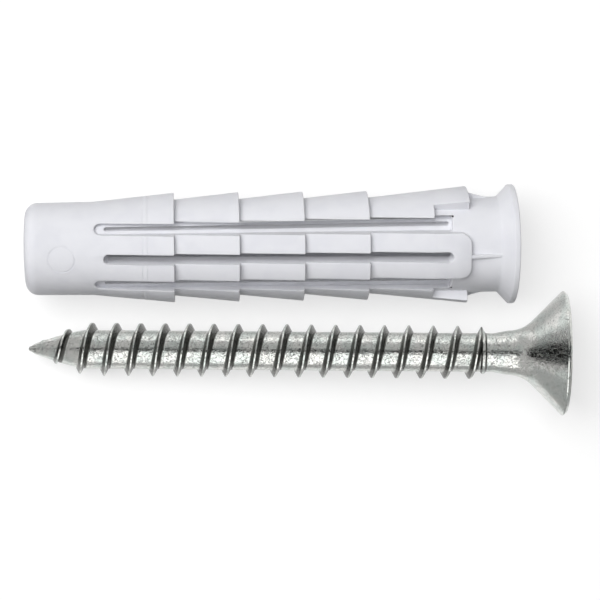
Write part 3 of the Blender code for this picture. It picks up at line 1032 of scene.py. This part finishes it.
def dull_card(name, tone, corners):
    """A dull card that only shows in reflections, as the dark ends of a light tent do."""
    bpy.ops.object.select_all(action="DESELECT")
    bpy.ops.mesh.primitive_plane_add(size=1)
    card = bpy.context.object
    card.name = name
    for vertex, corner in zip(card.data.vertices, corners):
        vertex.co = corner
    made, nodes, links = new_material(name)
    shader = nodes["Principled BSDF"]
    shader.inputs["Base Color"].default_value = (tone, tone, tone, 1)
    shader.inputs["Roughness"].default_value = 1.0
    shader.inputs["Specular IOR Level"].default_value = 0.0
    card.data.materials.append(made)
    card.visible_camera = False
    card.visible_diffuse = False
    card.visible_shadow = False
    card.visible_transmission = False


def lying_corners(left, right, front, back, height):
    """The corners of a card that lies flat."""
    return ((left, front, height), (right, front, height), (left, back, height), (right, back, height))


def standing_corners(x, half, height):
    """The corners of a card that stands on the table across the X axis."""
    return ((x, -half, 0.0), (x, half, 0.0), (x, -half, height), (x, half, height))


def table_top():
    """A pale table that the camera sees almost white, with its shadows."""
    bpy.ops.object.select_all(action="DESELECT")
    bpy.ops.mesh.primitive_plane_add(size=TABLE_SIZE)
    table = bpy.context.object
    table.name = "table"
    made, nodes, links = new_material("pale_table")
    shader = nodes["Principled BSDF"]
    shader.inputs["Roughness"].default_value = TABLE_ROUGHNESS
    shader.inputs["Specular IOR Level"].default_value = TABLE_SHINE
    rays = nodes.new("ShaderNodeLightPath")
    seen = rays.outputs["Is Camera Ray"]
    links.new(ramp(nodes, links, seen, 0.0, 1.0, TABLE_TONE, TABLE_SHADE), shader.inputs["Base Color"])
    in_metal = math_node(nodes, links, "MULTIPLY", rays.outputs["Is Glossy Ray"], TABLE_IN_METAL)
    lift = math_node(nodes, links, "MULTIPLY_ADD", seen, TABLE_LIFT, in_metal)
    shader.inputs["Emission Color"].default_value = (1, 1, 1, 1)
    links.new(lift, shader.inputs["Emission Strength"])
    table.data.materials.append(made)


def studio_world():
    """A white background for the camera, a weak fill for the pieces and a brighter room in the metal."""
    world = bpy.data.worlds.new("studio")
    bpy.context.scene.world = world
    world.use_nodes = True
    nodes = world.node_tree.nodes
    links = world.node_tree.links
    nodes.clear()
    out = nodes.new("ShaderNodeOutputWorld")
    fill = nodes.new("ShaderNodeBackground")
    white = nodes.new("ShaderNodeBackground")
    for background in (fill, white):
        background.inputs["Color"].default_value = (1, 1, 1, 1)
    white.inputs["Strength"].default_value = 1.0
    rays = nodes.new("ShaderNodeLightPath")
    strength = ramp(nodes, links, rays.outputs["Is Glossy Ray"], 0.0, 1.0, ROOM_FILL, ROOM_IN_METAL)
    links.new(strength, fill.inputs["Strength"])
    by_ray = nodes.new("ShaderNodeMixShader")
    links.new(rays.outputs["Is Camera Ray"], by_ray.inputs["Fac"])
    links.new(fill.outputs[0], by_ray.inputs[1])
    links.new(white.outputs[0], by_ray.inputs[2])
    links.new(by_ray.outputs[0], out.inputs["Surface"])


def studio_lamps():
    """One lamp that lights the pieces, and bright and dull cards that only show in reflections."""
    overhead = softbox("overhead", *OVERHEAD)
    overhead.visible_glossy = False
    for name, values in (("white_card", WHITE_CARD), ("rim_card", RIM_CARD)):
        card = softbox(name, *values)
        card.visible_diffuse = False
    half = GAP_HEIGHT * sin(radians(GAP_ANGLE))
    near, far = -LEFT_CARD_NEAR, -LEFT_CARD_FAR
    near_half, far_half = LEFT_CARD_NEAR_HALF, LEFT_CARD_FAR_HALF
    left_table = (
        (far, -far_half, CARD_RISE),
        (near, -near_half, CARD_RISE),
        (far, far_half, CARD_RISE),
        (near, near_half, CARD_RISE),
    )
    dull_card("zenith_gap", CARD_TONE, lying_corners(-GAP_REACH, GAP_REACH, -half, half, GAP_HEIGHT))
    dull_card("left_table_card", CARD_TONE, left_table)
    dull_card("left_end_card", CARD_TONE, standing_corners(far, far_half, LEFT_CARD_HEIGHT))
    dull_card("right_end_card", CARD_TONE, standing_corners(*RIGHT_CARD))
    dull_card("front_table_card", FRONT_CARD_TONE, lying_corners(*FRONT_CARD, CARD_RISE))


plug_place = resting_place("wall_plug", "flange_face", PLUG_ROLL)
screw_place = resting_place("screw", "head_face", 0.0)
plug = build_plug(plug_place)
screw = build_screw(screw_place)
grain_group = surface_grain()
dress(plug, moulded_nylon(grain_group))
dress(screw, zinc_plate(grain_group, screw_place))
for piece, node, slot in ((plug, "wall_plug", "plug_plastic"), (screw, "screw", "screw_steel")):
    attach(piece, "root")
    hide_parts(node)
plug.visible_glossy = False  # the photographed screw doesn't mirror the plug
table_top()
studio_world()
studio_lamps()
photo_camera()
bpy.context.scene.view_settings.view_transform = "Standard"
